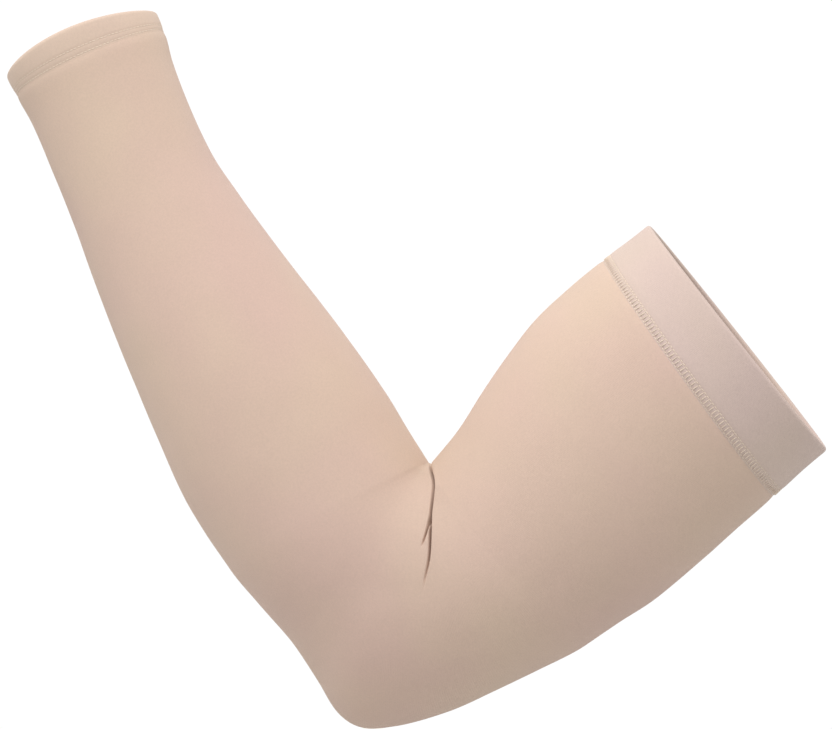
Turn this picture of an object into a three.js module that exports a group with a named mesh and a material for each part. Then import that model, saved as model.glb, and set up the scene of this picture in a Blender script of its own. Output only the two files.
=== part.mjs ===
// A stretch-knit arm sleeve, standing as it sits on an arm bent at the elbow.
//
// Lengths are millimetres, angles are degrees and +Z is up. The arm bends in the XZ plane: the
// forearm rises to the wrist at the upper left, the elbow is at the bottom, and the upper arm
// rises to the right. The origin is the centre of the upper-arm opening.
//
// The sleeve is three pieces of cloth: the tube, a narrow turned hem at the wrist and a wide
// turned band at the upper arm. Each hem is two layers deep, and its inner layer runs on under
// the end of the tube, where the cover stitch joins them.

import * as THREE from "three";

// Where the limbs lie. The crook is the inside of the elbow, where both limbs start.
const forearmLength = 202.4; // from the crook to the wrist edge
const upperArmLength = 117.5; // from the crook to the upper-arm edge
const forearmAngle = 118; // from +X up to the forearm's axis
const upperArmAngle = 40.3; // from +X up to the upper arm's axis
const crookRadius = 1.2; // how sharply the cloth turns at the crook

// Widths lie in the plane that the arm bends in, and depths lie across it, along Y.
const forearmWidth = 85;
const forearmDepth = 79;
const wristWidth = 61.8;
const wristDepth = 46;
const upperArmWidth = 89;
const upperArmDepth = 80;
const openingWidth = 105;
const openingDepth = 88;
const elbowPoint = 15.5; // how far the point of the elbow stands out past both limbs

// The cloth and its seams.
const clothThickness = 1;
const layerGap = 0.3; // between layers and pieces that are sewn together
const wristHemWidth = 8.3;
const wristEdgeBulge = 3.4; // how much further that hem reaches over the faces of the arm
const upperBandWidth = 23.5;
const seamLap = 4; // how far a hem's inner layer runs on under the tube
const stitchPull = 0.35; // how deep the cover stitch pulls the outer layer in
const stitchReach = 3.5; // how far from the seam that pull shows
const hemRise = 0.4; // how far a hem's doubled cloth stands proud of the tube

// How finely the surface is divided.
const sides = 40;
const forearmSteps = 13;
const elbowSteps = 20;
const upperArmSteps = 6;
const hemSteps = 4;
const edgeSteps = 4;

// A limb from the crook (along 0) to its edge (along 1). swell and depthSwell are added to the
// straight taper between the two ends, as shares of it. sway moves the section's middle towards
// the outer side, as a share of the limb's width. turn tips the section out of square.
const forearmSections = [
  { along: 0, swell: 0, depthSwell: 0, sway: 0, turn: 0 },
  { along: 0.075, swell: 0.03, depthSwell: 0.026, sway: 0.018, turn: 0 },
  { along: 0.15, swell: 0.054, depthSwell: 0.053, sway: 0.029, turn: 0 },
  { along: 0.3, swell: 0.024, depthSwell: 0.085, sway: 0.042, turn: 0 },
  { along: 0.45, swell: -0.032, depthSwell: 0.05, sway: 0.059, turn: 0 },
  { along: 0.6, swell: -0.098, depthSwell: -0.03, sway: 0.066, turn: 0.5 },
  { along: 0.7, swell: -0.141, depthSwell: -0.08, sway: 0.062, turn: 1.5 },
  { along: 0.8, swell: -0.127, depthSwell: -0.09, sway: 0.047, turn: 2.5 },
  { along: 0.9, swell: -0.084, depthSwell: -0.06, sway: 0.024, turn: 3.8 },
  { along: 0.95, swell: -0.026, depthSwell: -0.02, sway: 0.0125, turn: 4.4 },
  { along: 1, swell: -0.004, depthSwell: 0, sway: 0.007, turn: 4.7 },
];
const upperArmSections = [
  { along: 0, swell: 0, depthSwell: 0, sway: 0, turn: 0 },
  { along: 0.13, swell: 0.023, depthSwell: 0.03, sway: -0.008, turn: 0.5 },
  { along: 0.26, swell: 0.074, depthSwell: 0.055, sway: -0.025, turn: 1.2 },
  { along: 0.38, swell: 0.099, depthSwell: 0.068, sway: -0.047, turn: 2.4 },
  { along: 0.51, swell: 0.11, depthSwell: 0.07, sway: -0.068, turn: 3.6 },
  { along: 0.64, swell: 0.091, depthSwell: 0.064, sway: -0.076, turn: 4.5 },
  { along: 0.77, swell: 0.064, depthSwell: 0.05, sway: -0.077, turn: 4.7 },
  { along: 0.9, swell: 0.021, depthSwell: 0.02, sway: -0.076, turn: 3.5 },
  { along: 1, swell: 0, depthSwell: 0, sway: -0.074, turn: 2.1 },
];

// The elbow, from the forearm (bend 0) round to the upper arm (bend 1). point is the share of
// elbowPoint that the outer side stands out by, depthSwell is as above, and taper narrows the
// outer side of the section, as the bone there does.
const elbowSections = [
  { bend: 0, point: 0, depthSwell: 0, taper: 0 },
  { bend: 0.12, point: -0.145, depthSwell: -0.014, taper: 0.03 },
  { bend: 0.235, point: -0.087, depthSwell: -0.023, taper: 0.1 },
  { bend: 0.29, point: 0.09, depthSwell: -0.026, taper: 0.16 },
  { bend: 0.35, point: 0.41, depthSwell: -0.029, taper: 0.22 },
  { bend: 0.41, point: 0.86, depthSwell: -0.03, taper: 0.26 },
  { bend: 0.44, point: 0.99, depthSwell: -0.03, taper: 0.27 },
  { bend: 0.47, point: 1.01, depthSwell: -0.03, taper: 0.28 },
  { bend: 0.53, point: 0.81, depthSwell: -0.03, taper: 0.26 },
  { bend: 0.59, point: 0.57, depthSwell: -0.029, taper: 0.22 },
  { bend: 0.65, point: 0.35, depthSwell: -0.028, taper: 0.17 },
  { bend: 0.76, point: 0.015, depthSwell: -0.024, taper: 0.09 },
  { bend: 0.88, point: -0.11, depthSwell: -0.016, taper: 0.03 },
  { bend: 1, point: 0, depthSwell: 0, taper: 0 },
];

// The path of the crease that runs from the crook down both faces of the elbow. reach is the
// share of the way from the crook to the outer side.
const creasePath = [
  { reach: 0, bend: 0.98 },
  { reach: 0.04, bend: 0.97 },
  { reach: 0.09, bend: 0.905 },
  { reach: 0.135, bend: 0.826 },
  { reach: 0.19, bend: 0.755 },
  { reach: 0.26, bend: 0.714 },
  { reach: 0.37, bend: 0.668 },
  { reach: 0.44, bend: 0.63 },
  { reach: 0.6, bend: 0.6 },
  { reach: 1, bend: 0.6 },
];
const creaseBend = 0.65; // the section of the elbow that swings to follow that path

// The creases: the main one, and a short one that branches off it. bend is where each starts,
// beside creaseBend, and drift how far it has moved by its end. from and to are its ends in
// reach, and depth and halfAngle are how deep and how wide the cloth tucks in.
const creases = [
  { bend: 0, drift: 0, from: 0.005, to: 0.48, depth: 3.2, halfAngle: 2.6 },
  { bend: -0.006, drift: -0.055, from: 0.2, to: 0.3, depth: 1.5, halfAngle: 1.8 },
];
const creaseSections = [-1.7, -1, -0.45, 0, 0.45, 1, 1.7]; // in half angles from the crease
const creaseSharpness = 1.5; // 1 is a plain V, and more is sharper at the bottom
const creaseLead = 0.55; // 1 is deepest halfway, and less is deepest nearer the crook
const innerSpread = 1.7; // how much wider a tuck is on the cloth's inner face
const closestSections = 0.3; // between neighbouring sections of the elbow

const radians = THREE.MathUtils.degToRad;
const mix = THREE.MathUtils.lerp;
const heading = (angle) => new THREE.Vector2(Math.cos(radians(angle)), Math.sin(radians(angle)));

// A smooth curve through one column of a table of sections.
function curve(table, place, column) {
  const places = table.map((row) => row[place]);
  const values = table.map((row) => row[column]);
  const fitted = new THREE.CubicInterpolant(places, values, 1);
  return (at) => fitted.evaluate(at)[0];
}

function curves(table, place) {
  const columns = Object.keys(table[0]).filter((name) => name !== place);
  return Object.fromEntries(columns.map((name) => [name, curve(table, place, name)]));
}

// The outward side of each limb: away from the crook, square to the limb's axis.
const forearm = {
  length: forearmLength,
  axis: heading(forearmAngle),
  outward: heading(forearmAngle + 90),
  width: [forearmWidth, wristWidth],
  depth: [forearmDepth, wristDepth],
  hemWidth: wristHemWidth,
  edgeBulge: wristEdgeBulge,
  shape: curves(forearmSections, "along"),
};
const upperArm = {
  length: upperArmLength,
  axis: heading(upperArmAngle),
  outward: heading(upperArmAngle - 90),
  width: [upperArmWidth, openingWidth],
  depth: [upperArmDepth, openingDepth],
  hemWidth: upperBandWidth,
  edgeBulge: 0,
  shape: curves(upperArmSections, "along"),
};
const elbowShape = curves(elbowSections, "bend");
const bendStart = forearmAngle + 90;
const bendEnd = upperArmAngle + 270;

const pathBend = curve(creasePath, "reach", "bend");

// A section is a plane across the sleeve: its middle and its outward side in the XZ plane, and
// the width and depth of the oval in it. middle is measured from the crook.
function limbSection(limb, along) {
  const share = along / limb.length;
  const { swell, depthSwell, sway, turn } = limb.shape;
  const [crookWidth, endWidth] = limb.width;
  const [crookDepth, endDepth] = limb.depth;
  const reach = crookRadius + crookWidth / 2 + sway(share) * crookWidth;
  return {
    middle: limb.axis.clone().multiplyScalar(along).addScaledVector(limb.outward, reach),
    outward: limb.outward.clone().rotateAround(new THREE.Vector2(), radians(-turn(share))),
    width: mix(crookWidth, endWidth, share) * (1 + swell(share)),
    depth: mix(crookDepth, endDepth, share) * (1 + depthSwell(share)),
    taper: 0,
  };
}

function elbowSection(bend) {
  const outward = heading(mix(bendStart, bendEnd, bend));
  const width = mix(forearmWidth, upperArmWidth, bend) + elbowPoint * elbowShape.point(bend);
  return {
    middle: outward.clone().multiplyScalar(crookRadius + width / 2),
    outward,
    width,
    depth: mix(forearmDepth, upperArmDepth, bend) * (1 + elbowShape.depthSwell(bend)),
    taper: elbowShape.taper(bend),
  };
}

// Where a section of the elbow swings to at a reach: onto the crease's path at creaseBend, and
// less the nearer the section is to either end of the elbow.
function swing(bend, reach) {
  const room = bend < creaseBend ? creaseBend : 1 - creaseBend;
  return bend + (pathBend(reach) - creaseBend) * (1 - Math.abs(bend - creaseBend) / room);
}

// How far the creases tuck the cloth in at a point of an elbow section. reach is the point's
// place across the section, and spread widens the tuck on the inner face of the cloth.
function creaseDepth(bend, reach, spread) {
  let deepest = 0;
  for (const { bend: start, drift, from, to, depth, halfAngle } of creases) {
    const run = (reach - from) / (to - from);
    const place = creaseBend + start + drift * run;
    const turned = Math.abs((bend - place) * (bendEnd - bendStart)) / (halfAngle * spread);
    if (turned < 1 && run > 0 && run < 1) {
      const across = (1 - turned) ** creaseSharpness;
      const alongRun = Math.sin(Math.PI * run ** creaseLead);
      deepest = Math.max(deepest, depth * across * alongRun);
    }
  }
  return deepest;
}

const upperOpening = limbSection(upperArm, upperArmLength);
const origin = upperOpening.middle; // from the crook

// A place on the sleeve gives the section at each reach, how far creases tuck it in there, and
// how far its ring bulges along the limb where it crosses the faces.
function onLimb(limb, along) {
  const section = limbSection(limb, along);
  const intoHem = Math.max(0, 1 - (limb.length - along) / limb.hemWidth);
  const bulge = limb.axis.clone().multiplyScalar(limb.edgeBulge * intoHem);
  return { section: () => section, tuck: () => 0, bulge };
}

function onElbow(bend) {
  return {
    section: (reach) => elbowSection(swing(bend, reach)),
    tuck: (reach, spread) => creaseDepth(bend, reach, spread),
    bulge: new THREE.Vector2(),
  };
}

// The ring of points round the sleeve at a place, inset from its outer face.
function ring(place, inset = 0) {
  const points = [];
  for (let side = 0; side < sides; side += 1) {
    const angle = (2 * Math.PI * side) / sides;
    const reach = (1 - Math.cos(angle)) / 2;
    const { middle, outward, width, depth, taper } = place.section(reach);
    const narrowing = 1 - taper * reach ** 2;
    const oval = new THREE.Vector2(
      -(width / 2 - inset) * Math.cos(angle),
      -(depth / 2 - inset) * Math.sin(angle) * narrowing,
    );
    oval.setLength(oval.length() - place.tuck(reach, inset > 0 ? innerSpread : 1));
    const flat = middle.clone().sub(origin).addScaledVector(outward, oval.x);
    flat.addScaledVector(place.bulge, Math.sin(angle) ** 2);
    points.push(new THREE.Vector3(flat.x, oval.y, flat.y));
  }
  return points;
}

// A closed wall through a loop of rings, and from the last ring back to the first. The rings of
// its outer face run from the wrist towards the upper arm.
function closedWall(rings) {
  const index = [];
  rings.forEach((_, row) => {
    const next = (row + 1) % rings.length;
    for (let side = 0; side < sides; side += 1) {
      const beside = (side + 1) % sides;
      const near = [row * sides + side, row * sides + beside];
      const far = [next * sides + side, next * sides + beside];
      index.push(near[0], near[1], far[1], near[0], far[1], far[0]);
    }
  });
  const geometry = new THREE.BufferGeometry().setFromPoints(rings.flat()).setIndex(index);
  geometry.computeVertexNormals();
  return geometry;
}

// How far the cover stitch pulls the outer face in, at a distance from the seam.
function seamPull(distance) {
  return stitchPull * Math.max(0, 1 - distance / stitchReach) ** 2;
}

function steps(from, to, count) {
  return Array.from({ length: count + 1 }, (_, step) => mix(from, to, step / count));
}

// The tube of single cloth between the two seams.
function tubeRings() {
  const wristSeam = forearmLength - wristHemWidth - layerGap / 2;
  const upperSeam = upperArmLength - upperBandWidth - layerGap / 2;
  const places = [];
  const pullPlaces = steps(0, stitchReach, 2).slice(0, -1);
  pullPlaces.forEach((gap) => places.push([onLimb(forearm, wristSeam - gap), seamPull(gap)]));
  steps(wristSeam - stitchReach, 0, forearmSteps)
    .slice(0, -1)
    .forEach((along) => places.push([onLimb(forearm, along), 0]));
  elbowBends().forEach((bend) => places.push([onElbow(bend), 0]));
  steps(0, upperSeam - stitchReach, upperArmSteps)
    .slice(1)
    .forEach((along) => places.push([onLimb(upperArm, along), 0]));
  pullPlaces
    .reverse()
    .forEach((gap) => places.push([onLimb(upperArm, upperSeam - gap), seamPull(gap)]));
  const outer = places.map(([place, pull]) => ring(place, pull));
  const inner = places.map(([place]) => ring(place, clothThickness));
  return [...outer, ...inner.reverse()];
}

// Where the elbow's sections lie: evenly round the bend, and close together at each crease.
function elbowBends() {
  const bendOf = (angle) => angle / (bendEnd - bendStart);
  const close = creases.flatMap(({ bend, drift, halfAngle }) => {
    const middle = creaseBend + bend + drift / 2;
    return creaseSections.map((offset) => middle + bendOf(offset * halfAngle));
  });
  const even = steps(0, 1, elbowSteps);
  const clearance = 0.5 / elbowSteps;
  const open = even.filter((bend) => close.every((other) => Math.abs(bend - other) > clearance));
  const sorted = [...open, ...close].sort((a, b) => a - b);
  const apart = bendOf(closestSections);
  return sorted.filter((bend, place) => place === 0 || bend - sorted[place - 1] > apart);
}

// A turned hem: its outer face, the fold at the edge, its inner face, and the lap under the tube.
function hemRings(limb, hemWidth) {
  const seam = limb.length - hemWidth + layerGap / 2;
  const foldThickness = 2 * clothThickness + layerGap;
  const foldRadius = foldThickness / 2;
  const foldStart = limb.length - foldRadius;
  const rise = (along) => hemRise * THREE.MathUtils.smoothstep(along - seam, 0, stitchReach);
  const faces = [seam, seam + stitchReach / 2, ...steps(seam + stitchReach, foldStart, hemSteps)];
  const outer = faces.map((along) =>
    ring(onLimb(limb, along), seamPull(along - seam) - rise(along)),
  );
  const fold = steps(0, Math.PI, edgeSteps)
    .slice(1, -1)
    .map((angle) => {
      const along = foldStart + foldRadius * Math.sin(angle);
      const inset = foldRadius * (1 - Math.cos(angle)) - (hemRise * (1 + Math.cos(angle))) / 2;
      return ring(onLimb(limb, along), inset);
    });
  const inner = steps(foldStart, seam - seamLap, hemSteps)
    .map((along) => ring(onLimb(limb, along), foldThickness));
  const lap = [seam - seamLap, seam]
    .map((along) => ring(onLimb(limb, along), clothThickness + layerGap));
  const rings = [...outer, ...fold, ...inner, ...lap];
  return limb === forearm ? rings.reverse() : rings;
}

function cloth(name, rings, colour) {
  const material = new THREE.MeshStandardMaterial({ color: colour, roughness: 0.85, metalness: 0 });
  const mesh = new THREE.Mesh(closedWall(rings), material);
  mesh.name = name;
  return mesh;
}

const sleeve = new THREE.Group();
sleeve.add(
  cloth("sleeve_tube", tubeRings(), "#dcc3ad"),
  cloth("wrist_hem", hemRings(forearm, wristHemWidth), "#dfc7b1"),
  cloth("upper_arm_band", hemRings(upperArm, upperBandWidth), "#d8c2b0"),
);

export default sleeve;
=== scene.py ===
import bisect
import math

import bmesh
import bpy
from mathutils import Matrix, Vector, noise


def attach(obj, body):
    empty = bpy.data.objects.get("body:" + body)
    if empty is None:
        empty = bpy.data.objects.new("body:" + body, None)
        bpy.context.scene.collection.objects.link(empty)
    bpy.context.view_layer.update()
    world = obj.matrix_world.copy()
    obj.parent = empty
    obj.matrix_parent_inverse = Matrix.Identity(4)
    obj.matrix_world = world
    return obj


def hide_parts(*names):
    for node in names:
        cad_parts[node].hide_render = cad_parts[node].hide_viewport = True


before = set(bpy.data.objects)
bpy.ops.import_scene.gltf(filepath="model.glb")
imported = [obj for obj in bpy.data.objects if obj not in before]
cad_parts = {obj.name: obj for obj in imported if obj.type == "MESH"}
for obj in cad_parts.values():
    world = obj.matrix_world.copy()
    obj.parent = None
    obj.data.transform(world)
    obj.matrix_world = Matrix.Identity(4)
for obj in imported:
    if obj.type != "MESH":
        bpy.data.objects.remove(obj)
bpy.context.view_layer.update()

# The sleeve tube. It is one layer of fine stretch knit, cut to taper from the upper arm to the
# wrist and closed into a tube. Pulled over a bent arm it lies smooth, and it folds in only at the
# inside of the elbow, where the slack of both limbs meets.
forearm_length = 0.2024
upper_arm_length = 0.1175
forearm_angle = 118
upper_arm_angle = 40.3
crook_radius = 0.0012
forearm_crook_width = 0.085
forearm_crook_depth = 0.079
wrist_width = 0.0618
wrist_depth = 0.046
upper_arm_crook_width = 0.089
upper_arm_crook_depth = 0.08
opening_width = 0.105
opening_depth = 0.088
elbow_point = 0.0155
knit_thickness = 0.001
tube_flat_size = (0.27, 0.36)
slack_waves = ((26, 0.00016), (75, 0.00009))  # how many to a metre, height
wrist_hem_width = 0.0083
wrist_edge_bulge = 0.0034
upper_band_width = 0.0235
seam_pull = 0.00035
seam_reach = 0.0035

forearm_table = [  # along, swell, depth swell, sway, turn
    (0, 0, 0, 0, 0),
    (0.075, 0.03, 0.026, 0.018, 0),
    (0.15, 0.054, 0.053, 0.029, 0),
    (0.3, 0.024, 0.085, 0.042, 0),
    (0.45, -0.032, 0.05, 0.059, 0),
    (0.6, -0.098, -0.03, 0.066, 0.5),
    (0.7, -0.141, -0.08, 0.062, 1.5),
    (0.8, -0.127, -0.09, 0.047, 2.5),
    (0.9, -0.084, -0.06, 0.024, 3.8),
    (0.95, -0.026, -0.02, 0.0125, 4.4),
    (1, -0.004, 0, 0.007, 4.7),
]
upper_arm_table = [  # along, swell, depth swell, sway, turn
    (0, 0, 0, 0, 0),
    (0.13, 0.023, 0.03, -0.008, 0.5),
    (0.26, 0.074, 0.055, -0.025, 1.2),
    (0.38, 0.099, 0.068, -0.047, 2.4),
    (0.51, 0.11, 0.07, -0.068, 3.6),
    (0.64, 0.091, 0.064, -0.076, 4.5),
    (0.77, 0.064, 0.05, -0.077, 4.7),
    (0.9, 0.021, 0.02, -0.076, 3.5),
    (1, 0, 0, -0.074, 2.1),
]
elbow_table = [  # bend, point, depth swell, taper
    (0, 0, 0, 0),
    (0.12, -0.145, -0.004, 0.03),
    (0.235, -0.087, -0.012, 0.1),
    (0.29, 0.09, -0.017, 0.16),
    (0.35, 0.41, -0.023, 0.22),
    (0.41, 0.86, -0.03, 0.26),
    (0.44, 0.99, -0.03, 0.27),
    (0.47, 1.01, -0.03, 0.28),
    (0.53, 0.81, -0.03, 0.26),
    (0.59, 0.57, -0.029, 0.22),
    (0.65, 0.35, -0.024, 0.17),
    (0.76, 0.015, -0.014, 0.09),
    (0.88, -0.11, -0.005, 0.03),
    (1, 0, 0, 0),
]
crease_path_table = [  # reach, bend
    (0, 0.9),
    (0.04, 0.93),
    (0.09, 0.885),
    (0.135, 0.81),
    (0.19, 0.748),
    (0.26, 0.716),
    (0.37, 0.68),
    (0.44, 0.648),
    (0.6, 0.62),
    (1, 0.62),
]
crease_depth_table = [  # reach, share of the full depth
    (0, 0.05),
    (0.02, 0.6),
    (0.05, 1),
    (0.24, 1),
    (0.33, 0.8),
    (0.4, 0.4),
    (0.45, 0.08),
    (0.48, 0),
    (0.55, 0),
    (1, 0),
]
crease_bend = 0.65
crease_depth = 0.0055
crease_slit = 0.00032
crease_sharpness = 2
crease_roll = 0.0002
crease_roll_place = 0.0013
inner_softness = 2.5
branch_start = 0.195
branch_end = 0.31
branch_drift = -0.062
branch_depth = 0.005
branch_lean = 0.6


def smooth_curve(table, column):
    """Give the smooth curve through one column of a table, by the table's first column."""
    places = [row[0] for row in table]
    values = [row[column] for row in table]

    def value(place):
        if place <= places[0]:
            return values[0]
        if place >= places[-1]:
            return values[-1]
        after = bisect.bisect_right(places, place)
        before = after - 1
        span = places[after] - places[before]
        share = (place - places[before]) / span
        lead, lead_value = -0.5, values[after]
        if before > 0:
            lead = span / 2 / (places[before] - places[before - 1])
            lead_value = values[before - 1]
        trail, trail_value = -0.5, values[before]
        if after < len(places) - 1:
            trail = span / 2 / (places[after + 1] - places[after])
            trail_value = values[after + 1]
        square, cube = share**2, share**3
        return (
            lead_value * lead * (2 * square - cube - share)
            + values[before] * ((1 + lead) * cube - (1.5 + 2 * lead) * square + (lead - 0.5) * share + 1)
            + values[after] * ((1.5 + trail) * square - (1 + trail) * cube + 0.5 * share)
            + trail_value * trail * (cube - square)
        )

    return value


def heading(angle):
    """Give the direction of an angle in degrees, in the plane that the arm bends in."""
    return Vector((math.cos(math.radians(angle)), math.sin(math.radians(angle))))


forearm = {
    "length": forearm_length,
    "axis": heading(forearm_angle),
    "outward": forearm_angle + 90,
    "widths": (forearm_crook_width, wrist_width),
    "depths": (forearm_crook_depth, wrist_depth),
    "hem_width": wrist_hem_width,
    "edge_bulge": wrist_edge_bulge,
    "shape": [smooth_curve(forearm_table, column) for column in range(1, 5)],
}
upper_arm = {
    "length": upper_arm_length,
    "axis": heading(upper_arm_angle),
    "outward": upper_arm_angle - 90,
    "widths": (upper_arm_crook_width, opening_width),
    "depths": (upper_arm_crook_depth, opening_depth),
    "hem_width": upper_band_width,
    "edge_bulge": 0,
    "shape": [smooth_curve(upper_arm_table, column) for column in range(1, 5)],
}
limbs = {"forearm": forearm, "upper arm": upper_arm}
elbow_shape = [smooth_curve(elbow_table, column) for column in range(1, 4)]
crease_path = smooth_curve(crease_path_table, 1)
crease_fade = smooth_curve(crease_depth_table, 1)
bend_start = forearm_angle + 90
bend_end = upper_arm_angle + 270
bend_turn = math.radians(bend_end - bend_start)


def limb_section(limb, along):
    """Give the middle, outward side, width and depth of a section of a limb."""
    share = along / limb["length"]
    swell, depth_swell, sway, turn = (curve(share) for curve in limb["shape"])
    (crook_width, end_width), (crook_depth, end_depth) = limb["widths"], limb["depths"]
    to_middle = crook_radius + crook_width / 2 + sway * crook_width
    middle = limb["axis"] * along + heading(limb["outward"]) * to_middle
    width = (crook_width + (end_width - crook_width) * share) * (1 + swell)
    depth = (crook_depth + (end_depth - crook_depth) * share) * (1 + depth_swell)
    return middle, heading(limb["outward"] - turn), width, depth


def elbow_section(bend):
    """Give a section of the elbow, its width with the point and both sizes without it."""
    point, depth_swell, taper = (curve(bend) for curve in elbow_shape)
    outward = heading(bend_start + (bend_end - bend_start) * bend)
    plain_width = forearm_crook_width + (upper_arm_crook_width - forearm_crook_width) * bend
    width = plain_width + elbow_point * point
    plain_depth = forearm_crook_depth + (upper_arm_crook_depth - forearm_crook_depth) * bend
    middle = outward * (crook_radius + width / 2)
    return middle, outward, width, plain_width, plain_depth, depth_swell, taper


def swing(bend, reach):
    """Give where an elbow section swings to, so that the crease's own section follows it."""
    room = crease_bend if bend < crease_bend else 1 - crease_bend
    return bend + (crease_path(reach) - crease_bend) * (1 - abs(bend - crease_bend) / room)


def crease_tuck(from_crease, reach, radius, softness):
    """Give how far the cloth tucks in at the crease and its branch, less the roll beside it."""
    fade = max(0, crease_fade(reach))
    beside = (from_crease / crease_roll_place) ** 2
    slit = crease_slit * softness
    tuck = crease_depth * fade * math.exp(-((abs(from_crease) / slit) ** crease_sharpness))
    run = (reach - branch_start) / (branch_end - branch_start)
    if 0 < run < 1:
        from_branch = from_crease - branch_drift * run * bend_turn * radius
        depth = branch_depth * math.sin(math.pi * run**branch_lean)
        tuck = max(tuck, depth * math.exp(-((abs(from_branch) / slit) ** crease_sharpness)))
    return tuck - crease_roll * fade * beside * math.exp(1 - beside)


opening_middle = limb_section(upper_arm, upper_arm_length)[0]


def sleeve_point(part, amount, angle, inset):
    """Give a point of the sleeve, at an angle round one of its sections and inset from its face."""
    reach = (1 - math.cos(angle)) / 2
    crease = crease_path(reach)
    fullness = math.sin(angle)
    if part == "elbow":
        swung = swing(amount, reach)
        middle, outward, width, plain_width, plain_depth, depth_swell, taper = elbow_section(swung)
        from_crook = min(1, 2 * reach)
        depth = plain_depth * (1 + depth_swell * from_crook**2 * (3 - 2 * from_crook))
        # On the crook's side the section is curved as it would be without the elbow's point.
        if reach < 0.5:
            plain_reach = min(0.5, reach * width / plain_width)
            fullness = math.copysign(2 * math.sqrt(plain_reach * (1 - plain_reach)), fullness)
        radius = crook_radius + reach * width
        from_crease = (swung - crease) * bend_turn * radius
    else:
        middle, outward, width, depth = limb_section(limbs[part], amount)
        taper = 0
        radius = crook_radius + reach * width
        from_crease = (1 - crease) * bend_turn * radius + amount
        if part == "forearm":
            from_crease = -crease * bend_turn * radius - amount
    oval = Vector((
        -(width / 2 - inset) * math.cos(angle),
        -(depth / 2 - inset) * fullness * (1 - taper * reach**2),
    ))
    softness = min(inner_softness, 1 + (inner_softness - 1) * max(0, inset) / knit_thickness)
    tuck = crease_tuck(from_crease, reach, radius, softness)
    oval *= 1 - tuck / oval.length
    flat = middle - opening_middle + outward * oval.x
    if part != "elbow":
        limb = limbs[part]
        into_hem = max(0, 1 - (limb["length"] - amount) / limb["hem_width"])
        flat += limb["axis"] * limb["edge_bulge"] * into_hem * math.sin(angle) ** 2
    point = Vector((flat.x, oval.y, flat.y))
    slack = sum(height * noise.noise(point * waves) for waves, height in slack_waves)
    return point + Vector((outward.x * oval.x, oval.y, outward.y * oval.x)) / oval.length * slack


def spaced(start, end, gap):
    """Give even places from start to end, about gap apart."""
    count = max(1, round(abs(end - start) / gap))
    return [start + (end - start) * place / count for place in range(count + 1)]


def closed_cloth(name, columns, rows, girth):
    """Bend a flat grid of cloth round into a closed wall through rings of the sleeve."""
    bm = bmesh.new()
    knit = bm.loops.layers.uv.new("knit")
    bmesh.ops.create_grid(bm, x_segments=len(columns), y_segments=len(rows), size=1, calc_uvs=True)
    lengths = [0]
    middles = [sleeve_point(part, amount, math.pi / 2, inset) for part, amount, inset in rows]
    for here, there in zip(middles, middles[1:] + middles[:1]):
        lengths.append(lengths[-1] + (there - here).length)
    for face in bm.faces:
        face.smooth = True
        for loop in face.loops:
            column = round(loop[knit].uv.x * len(columns))
            row = round(loop[knit].uv.y * len(rows))
            turned = columns[column] if column < len(columns) else 2 * math.pi
            loop[knit].uv = (turned / (2 * math.pi) * girth, lengths[row])
    for vertex in bm.verts:
        column = round((vertex.co.x + 1) / 2 * len(columns)) % len(columns)
        part, amount, inset = rows[round((vertex.co.y + 1) / 2 * len(rows)) % len(rows)]
        vertex.co = sleeve_point(part, amount, columns[column], inset)
    edge = [vertex for vertex in bm.verts if vertex.is_boundary]
    bmesh.ops.remove_doubles(bm, verts=edge, dist=1e-7)
    bmesh.ops.recalc_face_normals(bm, faces=bm.faces)
    mesh = bpy.data.meshes.new(name)
    bm.to_mesh(mesh)
    bm.free()
    piece = bpy.data.objects.new(name, mesh)
    bpy.context.scene.collection.objects.link(piece)
    return piece


def pulled(distance):
    """Give how far the stitching pulls the tube in at a distance from the seam."""
    return seam_pull * max(0, 1 - distance / seam_reach) ** 2


def finer_near(fine, even, room):
    """Give even places, with fine ones in their stead where the cloth creases."""
    return sorted(fine + [place for place in even if not fine[0] - room < place < fine[-1] + room])


even_turn = math.radians(2.5)
fine_turn = math.radians(0.6)
branch_room = 0.02
branch_begin = math.acos(1 - 2 * (branch_start - branch_room))
branch_finish = math.acos(1 - 2 * (branch_end + branch_room))
near_columns = (
    spaced(0, branch_begin, even_turn)[:-1]
    + spaced(branch_begin, branch_finish, fine_turn)[:-1]
    + spaced(branch_finish, math.pi, even_turn)
)
tube_columns = near_columns + [2 * math.pi - angle for angle in near_columns[-2:0:-1]]

wrist_seam = forearm_length - wrist_hem_width
upper_seam = upper_arm_length - upper_band_width
seam_stretch = 0.004
seam_row_gap = 0.0005
plain_row_gap = 0.002
forearm_crook_stretch = 0.008
forearm_crook_gap = 0.001
upper_arm_crook_stretch = 0.006
upper_arm_crook_gap = 0.0005
forearm_rows = (
    spaced(wrist_seam, wrist_seam - seam_stretch, seam_row_gap)[:-1]
    + spaced(wrist_seam - seam_stretch, forearm_crook_stretch, plain_row_gap)[:-1]
    + spaced(forearm_crook_stretch, 0, forearm_crook_gap)[:-1]
)
crease_bends = spaced(crease_bend - 0.085, crease_bend + 0.035, 0.0035)
elbow_rows = finer_near(crease_bends, spaced(0, 1, 0.011), 0.006)
upper_arm_rows = (
    spaced(0, upper_arm_crook_stretch, upper_arm_crook_gap)[1:]
    + spaced(upper_arm_crook_stretch, upper_seam - seam_stretch, plain_row_gap)[1:]
    + spaced(upper_seam - seam_stretch, upper_seam, seam_row_gap)[1:]
)
outer_rows = (
    [("forearm", along, pulled(wrist_seam - along)) for along in forearm_rows]
    + [("elbow", bend, 0) for bend in elbow_rows]
    + [("upper arm", along, pulled(upper_seam - along)) for along in upper_arm_rows]
)
inner_row_gap = 0.004
inner_crease_bends = spaced(crease_bend - 0.04, crease_bend + 0.04, 0.008)
inner_elbow_rows = finer_near(inner_crease_bends, spaced(0, 1, 0.02), 0.015)
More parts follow.
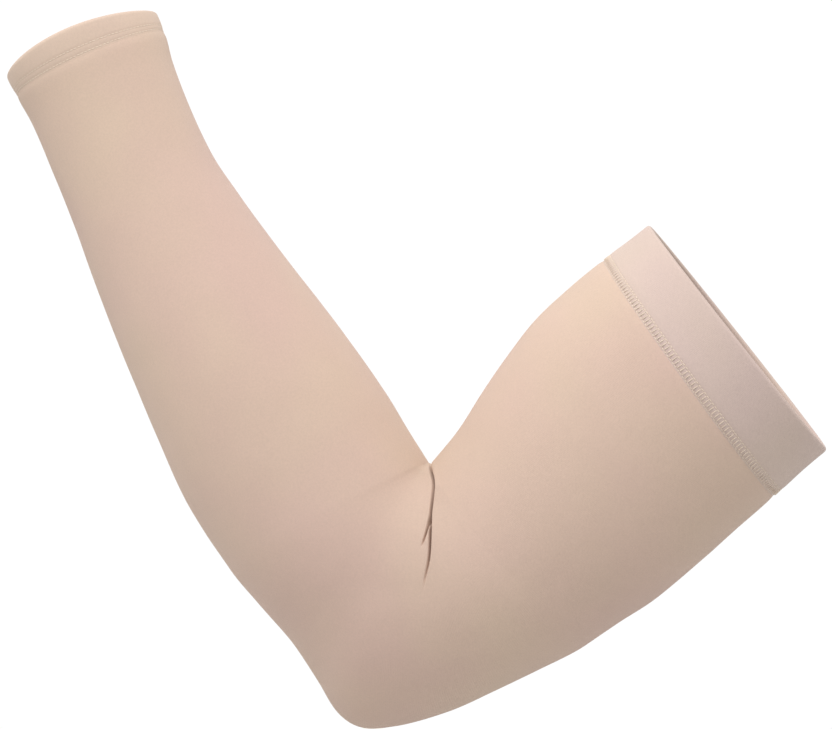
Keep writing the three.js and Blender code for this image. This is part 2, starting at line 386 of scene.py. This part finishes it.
inner_rows = (
    [("upper arm", along, knit_thickness) for along in spaced(upper_seam, 0, inner_row_gap)[:-1]]
    + [("elbow", bend, knit_thickness) for bend in reversed(inner_elbow_rows)]
    + [("forearm", along, knit_thickness) for along in spaced(0, wrist_seam, inner_row_gap)[1:]]
)
sleeve_tube = closed_cloth("knit_tube", tube_columns, outer_rows + inner_rows, tube_flat_size[0])


def knit_material(name, light, rosy):
    """Make a plain knit: columns of small V stitches with painted shade between them, a little uneven in
    colour, soft and matt.
    """
    material = bpy.data.materials.new(name)
    material.use_nodes = True
    nodes, links = material.node_tree.nodes, material.node_tree.links
    shader = nodes["Principled BSDF"]

    def add(kind, inputs, **settings):
        made = nodes.new(kind)
        for setting, value in settings.items():
            setattr(made, setting, value)
        for socket, value in inputs.items():
            if isinstance(value, bpy.types.NodeSocket):
                links.new(value, made.inputs[socket])
            else:
                made.inputs[socket].default_value = value
        return made.outputs

    def sums(operation, first, second=0.0):
        return add("ShaderNodeMath", {0: first, 1: second}, operation=operation)[0]

    place = add("ShaderNodeUVMap", {}, uv_map="knit")[0]
    across, down, _ = add("ShaderNodeSeparateXYZ", {0: place})
    spot = add("ShaderNodeTexCoord", {})["Object"]

    # Two legs to a wale, and each leg leans up and out from its middle.
    wale, course = 0.0006, 0.00045
    wales = sums("DIVIDE", across, wale)
    from_middle = sums("ABSOLUTE", sums("SUBTRACT", sums("FRACT", wales), 0.5))
    leg = sums("COSINE", sums("MULTIPLY", sums("SUBTRACT", from_middle, 0.25), 4 * math.pi))
    lean = sums("ADD", sums("DIVIDE", down, course), from_middle)
    loop = sums("COSINE", sums("MULTIPLY", lean, 2 * math.pi))
    leg_height, loop_height, fuzz_height = 0.35, 0.25, 0.6
    height = sums("ADD", sums("MULTIPLY", leg, leg_height), sums("MULTIPLY", loop, loop_height))

    fuzz = add("ShaderNodeTexNoise", {"Vector": spot, "Scale": 1500, "Detail": 2.0})[0]
    uneven = add("ShaderNodeTexNoise", {"Vector": spot, "Scale": 14, "Detail": 2.0})[0]
    patches = add("ShaderNodeTexNoise", {"Vector": spot, "Scale": 60, "Detail": 3.0})[0]

    tone = add("ShaderNodeMapRange", {0: uneven, 1: 0.35, 2: 0.65, 3: 0.0, 4: 1.0})[0]
    cloth = add("ShaderNodeMix", {0: tone, 6: (*light, 1), 7: (*rosy, 1)}, data_type="RGBA")[2]
    # The colour is painted darker where the stitches lie low, as shade between the stitches. The fine
    # speckle and the broad patches add random tone of the cloth.
    stitch_shade, fuzz_tone, patch_tone = 0.07, 0.3, 0.1
    groove_shade_and_mottle_sum = sums("ADD", sums("MULTIPLY", height, stitch_shade), sums("MULTIPLY", fuzz, fuzz_tone))
    groove_shade_and_mottle_sum = sums("ADD", groove_shade_and_mottle_sum, sums("MULTIPLY", patches, patch_tone))
    # This factor holds the painted shade between the stitches, together with the random speckle and
    # patches.
    groove_shade_and_mottle = add("ShaderNodeMapRange", {0: groove_shade_and_mottle_sum, 1: 0.04, 2: 0.36, 3: 0.91, 4: 1.08})[0]
    grey = add("ShaderNodeCombineXYZ", {0: groove_shade_and_mottle, 1: groove_shade_and_mottle, 2: groove_shade_and_mottle})[0]
    colour = add(
        "ShaderNodeMix", {0: 1.0, 6: cloth, 7: grey}, data_type="RGBA", blend_type="MULTIPLY"
    )[2]
    links.new(colour, shader.inputs["Base Color"])

    rough = add("ShaderNodeMapRange", {0: fuzz, 1: 0.3, 2: 0.7, 3: 0.74, 4: 0.86})[0]
    links.new(rough, shader.inputs["Roughness"])
    relief = sums("ADD", height, sums("MULTIPLY", fuzz, fuzz_height))
    bump = add("ShaderNodeBump", {"Strength": 0.55, "Distance": 0.00012, "Height": relief})[0]
    links.new(bump, shader.inputs["Normal"])
    shader.inputs["Specular IOR Level"].default_value = 0.28
    shader.inputs["Sheen Weight"].default_value = 0.18
    shader.inputs["Sheen Roughness"].default_value = 0.5
    shader.inputs["Sheen Tint"].default_value = (1.0, 0.93, 0.88, 1)
    return material


tube_light = (0.665, 0.508, 0.4)
tube_rosy = (0.65, 0.472, 0.398)
sleeve_tube.data.materials.append(knit_material("beige_knit", tube_light, tube_rosy))
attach(sleeve_tube, "root")
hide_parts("sleeve_tube")

# The wide band at the upper arm. It is a strip of the same knit folded double, its fold at the
# opening, and a cover stitch fixes its outer edge over the end of the tube and its inner edge
# under it.
hem_rise = 0.0004
hem_rise_length = 0.006
hem_gap = 0.0003
hem_pull_share = 0.75
seam_lap = 0.004
lip_overlap = 0.0006
lip_rise = 0.00003
lip_round = 0.0005
lip_drop = 0.00022
lip_underside = [(0.0003, 0.00062), (-0.8 * lip_overlap, 0.00056)]  # offset from the seam, inset
valley_depth = 0.00014
valley_width = 0.0004
stitch_pitch = 0.0015
columns_to_stitch = 3
fine_offset_gap = 0.0002
even_offset_gap = 0.0012


def stitch_valley(offset, row):
    """Give how far a row of stitches presses the cloth in at an offset from the seam."""
    return valley_depth * math.exp(-(((offset - row) / valley_width) ** 2))


def hem_face(offset, needle_rows):
    """Give how far in the hem's outer face lies at an offset from the seam."""
    lift = min(1, max(0, offset / hem_rise_length))
    inset = -lip_rise - (hem_rise - lip_rise) * lift**2 * (3 - 2 * lift)
    inset += hem_pull_share * pulled(abs(offset))
    return inset + sum(stitch_valley(offset, row) for row in needle_rows)


def hem_profile(width, needle_rows):
    """Give the folded strip's section, as offsets from the seam and insets from the face."""
    fold_radius = (2 * knit_thickness + hem_gap + hem_rise) / 2
    inside = 2 * knit_thickness + hem_gap
    fold_start = width - fold_radius
    outer = []
    fine_offsets = spaced(-lip_overlap, hem_rise_length, fine_offset_gap)
    for offset in fine_offsets + spaced(hem_rise_length, fold_start, even_offset_gap)[1:]:
        lip = min(1, max(0, (lip_round - lip_overlap - offset) / lip_round))
        edge = lip_drop * (1 - math.sqrt(1 - lip**2))
        outer.append((offset, hem_face(offset, needle_rows) + edge))
    fold = [
        (fold_start + fold_radius * math.sin(turn), fold_radius * (1 - math.cos(turn)) - hem_rise)
        for turn in spaced(0, math.pi, math.pi / 12)[1:-1]
    ]
    inner = [(offset, inside) for offset in spaced(fold_start, -seam_lap, even_offset_gap)]
    lap = [(offset, inside - knit_thickness) for offset, _ in reversed(inner)]
    small = fold_radius - knit_thickness
    under_fold = [
        (fold_start + small * math.sin(turn), fold_radius - hem_rise + small * math.cos(turn))
        for turn in spaced(0, math.pi, math.pi / 6)[1:-1]
    ]
    under_offsets = spaced(fold_start, lip_round, even_offset_gap)
    under = [(offset, knit_thickness - hem_rise) for offset in under_offsets]
    return outer + fold + inner + lap + under_fold + under + lip_underside


def seam_angles(part, along, count):
    """Give the angles of even steps of cloth round the sleeve."""
    fine = spaced(0, 2 * math.pi, math.radians(0.5))
    points = [sleeve_point(part, along, angle, 0) for angle in fine]
    run = [0]
    for here, there in zip(points, points[1:]):
        run.append(run[-1] + (there - here).length)
    angles = []
    for step in range(count):
        target = run[-1] * step / count
        after = bisect.bisect_right(run, target)
        share = (target - run[after - 1]) / (run[after] - run[after - 1])
        angles.append(fine[after - 1] + (fine[after] - fine[after - 1]) * share)
    return angles


def hem_cloth(name, part, seam, needle_rows, stitches):
    """Make a folded hem, its fold at the limb's edge."""
    profile = hem_profile(limbs[part]["hem_width"], needle_rows)
    rows = [(part, seam + offset, inset) for offset, inset in profile]
    angles = seam_angles(part, seam, stitches * columns_to_stitch)
    return closed_cloth(name, angles, rows, stitches * stitch_pitch)


band_rows = (0.0001, 0.0031)
band_stitches = 196
band_light = (0.65, 0.522, 0.446)
band_rosy = (0.63, 0.492, 0.45)
upper_band = hem_cloth("folded_upper_band", "upper arm", upper_seam, band_rows, band_stitches)
upper_band.data.materials.append(knit_material("beige_knit_band", band_light, band_rosy))
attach(upper_band, "root")
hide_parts("upper_arm_band")

# The narrow hem at the wrist. It is a strip of the same knit, folded double and laid over the end
# of the tube as the upper band is, and its two rows of needle thread are closer together.
wrist_rows = (0.0003, 0.0022)
wrist_stitches = 112
wrist_light = (0.67, 0.52, 0.415)
wrist_rosy = (0.635, 0.485, 0.4)
wrist_hem = hem_cloth("folded_wrist_hem", "forearm", wrist_seam, wrist_rows, wrist_stitches)
wrist_hem.data.materials.append(knit_material("beige_knit_hem", wrist_light, wrist_rosy))
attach(wrist_hem, "root")
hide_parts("wrist_hem")

# The cover stitch at both hems, sewn with fine beige thread. Needle threads lie in two rows along
# the seam, and a cover thread crosses from row to row on the inside. On the band one crosses on
# the outside too.
stitch_share = 0.88
crossing = 0.92
needle_lift = 0.00006
crossing_lift = 0.00012
needle_thickness = 0.00021
inner_needle_thickness = 0.00019
crossing_thickness = 0.0002
inner_crossing_thickness = 0.00016
thread_flatness = 0.8


def short_thread(segments):
    """Make the thread that every stitch is a copy of, one metre in radius."""
    bm = bmesh.new()
    bmesh.ops.create_uvsphere(bm, u_segments=segments, v_segments=segments - 1, radius=1)
    for face in bm.faces:
        face.smooth = True
    mesh = bpy.data.meshes.new("short_thread")
    bm.to_mesh(mesh)
    bm.free()
    return mesh


def lay_thread(bm, thread_mesh, part, along, angle, inset, across, length, thickness):
    """Lay one stitch on the cloth, along the seam, or across it by a share."""
    little_turn, little_way = 0.01, 0.0005
    here = sleeve_point(part, along, angle, inset)
    round_way = (sleeve_point(part, along, angle + little_turn, inset) - here).normalized()
    down_way = (sleeve_point(part, along + little_way, angle, inset) - here).normalized()
    lay = (round_way * (1 - across) + down_way * across).normalized()
    out_way = round_way.cross(down_way).normalized()
    side = out_way.cross(lay)
    height = out_way * thickness * thread_flatness
    turn = Matrix((side * thickness, height, lay * length / 2)).transposed()
    laid = thread_mesh.copy()
    laid.transform(Matrix.Translation(here) @ turn.to_4x4())
    bm.from_mesh(laid)
    bpy.data.meshes.remove(laid)


def cover_stitch(name, part, seam, needle_rows, stitches, crossed):
    """Sew the seam, outside and inside, with threads across on the outside where it is crossed."""
    bm = bmesh.new()
    needle_thread, cover_thread = short_thread(8), short_thread(6)
    first, second = needle_rows
    middle = (first + second) / 2
    stitch, cross = stitch_pitch * stitch_share, second - first
    inside = 2 * knit_thickness + hem_gap

    def lay(thread_mesh, offset, angle, inset, across, length, thickness):
        lay_thread(bm, thread_mesh, part, seam + offset, angle, inset, across, length, thickness)

    for angle in seam_angles(part, seam, stitches):
        for row in needle_rows:
            on_face = hem_face(row, needle_rows) - needle_lift
            lay(needle_thread, row, angle, on_face, 0, stitch, needle_thickness)
            lay(cover_thread, row, angle, inside, 0, stitch, inner_needle_thickness)
        between = angle + math.pi / stitches
        if crossed:
            on_face = hem_face(middle, needle_rows) - crossing_lift
            lay(cover_thread, middle, between, on_face, crossing, cross, crossing_thickness)
        lay(cover_thread, middle, between, inside, crossing, cross, inner_crossing_thickness)
    bmesh.ops.recalc_face_normals(bm, faces=bm.faces)
    bpy.data.meshes.remove(needle_thread)
    bpy.data.meshes.remove(cover_thread)
    mesh = bpy.data.meshes.new(name)
    bm.to_mesh(mesh)
    bm.free()
    piece = bpy.data.objects.new(name, mesh)
    bpy.context.scene.collection.objects.link(piece)
    return piece


thread = bpy.data.materials.new("beige_sewing_thread")
thread.use_nodes = True
thread_nodes, thread_links = thread.node_tree.nodes, thread.node_tree.links
thread_shader = thread_nodes["Principled BSDF"]
thread_spot = thread_nodes.new("ShaderNodeTexCoord")
thread_twist = thread_nodes.new("ShaderNodeTexNoise")
thread_twist.inputs["Scale"].default_value = 5200
thread_tone = thread_nodes.new("ShaderNodeValToRGB")
thread_tone.color_ramp.elements[0].color = (0.66, 0.53, 0.42, 1)
thread_tone.color_ramp.elements[1].color = (0.82, 0.7, 0.58, 1)
thread_bump = thread_nodes.new("ShaderNodeBump")
thread_bump.inputs["Strength"].default_value = 0.4
thread_bump.inputs["Distance"].default_value = 0.00005
thread_links.new(thread_spot.outputs["Object"], thread_twist.inputs["Vector"])
thread_links.new(thread_twist.outputs[0], thread_tone.inputs[0])
thread_links.new(thread_tone.outputs[0], thread_shader.inputs["Base Color"])
thread_links.new(thread_twist.outputs[0], thread_bump.inputs["Height"])
thread_links.new(thread_bump.outputs[0], thread_shader.inputs["Normal"])
thread_shader.inputs["Roughness"].default_value = 0.6
thread_shader.inputs["Sheen Weight"].default_value = 0.2

upper_stitching = cover_stitch(
    "upper_band_stitches", "upper arm", upper_seam, band_rows, band_stitches, crossed=True
)
upper_stitching.data.materials.append(thread)
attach(upper_stitching, "root")
wrist_stitching = cover_stitch(
    "wrist_hem_stitches", "forearm", wrist_seam, wrist_rows, wrist_stitches, crossed=False
)
wrist_stitching.data.materials.append(thread)
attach(wrist_stitching, "root")

# The floor under the sleeve. It is a plain round board, painted pale grey. The sleeve is held up
# by its upper-arm opening and hangs clear of it.
floor_radius = 1.2
floor_thickness = 0.02
floor_middle = Vector((-0.12, 0, -0.31))
floor_mesh = bmesh.new()
rim = bmesh.ops.create_circle(floor_mesh, cap_ends=True, radius=floor_radius, segments=128)
for vertex in rim["verts"]:
    vertex.co += floor_middle
board = bmesh.ops.extrude_face_region(floor_mesh, geom=floor_mesh.faces[:])
bmesh.ops.translate(
    floor_mesh,
    verts=[part for part in board["geom"] if isinstance(part, bmesh.types.BMVert)],
    vec=(0, 0, -floor_thickness),
)
bmesh.ops.recalc_face_normals(floor_mesh, faces=floor_mesh.faces)
floor_data = bpy.data.meshes.new("pale_floor")
floor_mesh.to_mesh(floor_data)
floor_mesh.free()
floor = bpy.data.objects.new("pale_floor", floor_data)
bpy.context.scene.collection.objects.link(floor)
floor_paint = bpy.data.materials.new("pale_floor_paint")
floor_paint.use_nodes = True
floor_nodes, floor_links = floor_paint.node_tree.nodes, floor_paint.node_tree.links
floor_spot = floor_nodes.new("ShaderNodeTexCoord")
floor_grain = floor_nodes.new("ShaderNodeTexNoise")
floor_grain.inputs["Scale"].default_value = 6
floor_tone = floor_nodes.new("ShaderNodeValToRGB")
floor_tone.color_ramp.elements[0].color = (0.52, 0.52, 0.51, 1)
floor_tone.color_ramp.elements[1].color = (0.56, 0.56, 0.55, 1)
floor_links.new(floor_spot.outputs["Object"], floor_grain.inputs["Vector"])
floor_links.new(floor_grain.outputs[0], floor_tone.inputs[0])
floor_links.new(floor_tone.outputs[0], floor_nodes["Principled BSDF"].inputs["Base Color"])
floor_nodes["Principled BSDF"].inputs["Roughness"].default_value = 0.7
floor.data.materials.append(floor_paint)

# The studio. It has white paper behind the sleeve, walls that get dimmer towards the camera, one
# large soft light high in front, and a weaker one at the left.
studio = bpy.data.worlds.new("studio")
bpy.context.scene.world = studio
studio.use_nodes = True
studio_nodes, studio_links = studio.node_tree.nodes, studio.node_tree.links
studio_place = studio_nodes.new("ShaderNodeTexCoord")
studio_split = studio_nodes.new("ShaderNodeSeparateXYZ")
studio_range = studio_nodes.new("ShaderNodeMapRange")
studio_range.interpolation_type = "SMOOTHSTEP"
studio_range.inputs["From Min"].default_value = -0.6
studio_range.inputs["From Max"].default_value = 0.4
studio_range.inputs["To Min"].default_value = 0.7
studio_range.inputs["To Max"].default_value = 1.02
studio_links.new(studio_place.outputs["Generated"], studio_split.inputs[0])
studio_links.new(studio_split.outputs["Y"], studio_range.inputs["Value"])
studio_links.new(studio_range.outputs[0], studio_nodes["Background"].inputs["Strength"])
studio_nodes["Background"].inputs["Color"].default_value = (1, 1, 1, 1)

key = bpy.data.objects.new("key_light", bpy.data.lights.new("key_light", "AREA"))
key.data.shape = "DISK"
key.data.size = 0.9
key.data.energy = 12.5
key.data.color = (1.0, 0.98, 0.96)
key.location = (-0.14, -0.8, 1.2)
key.rotation_euler = (Vector((-0.12, 0, 0)) - key.location).to_track_quat("-Z", "Y").to_euler()
bpy.context.scene.collection.objects.link(key)
fill = bpy.data.objects.new("fill_light", bpy.data.lights.new("fill_light", "AREA"))
fill.data.shape = "DISK"
fill.data.size = 1.0
fill.data.energy = 3.4
fill.location = (-1.35, -0.3, 0.85)
fill.rotation_euler = (Vector((-0.2, 0, 0)) - fill.location).to_track_quat("-Z", "Y").to_euler()
bpy.context.scene.collection.objects.link(fill)
bpy.context.scene.view_settings.view_transform = "Standard"

# The camera looks from nearly square on, a little from the side of the upper arm.
aim = Vector((-0.1202, 0, -0.0103))
camera_distance = 1.125
camera_turn = math.radians(8)
camera = bpy.data.objects.new("camera", bpy.data.cameras.new("camera"))
camera.data.sensor_width = 36
camera.data.lens = 129.8
camera.location = aim + camera_distance * Vector((math.sin(camera_turn), -math.cos(camera_turn), 0))
camera.rotation_euler = (aim - camera.location).to_track_quat("-Z", "Y").to_euler()
bpy.context.scene.collection.objects.link(camera)
bpy.context.scene.camera = camera
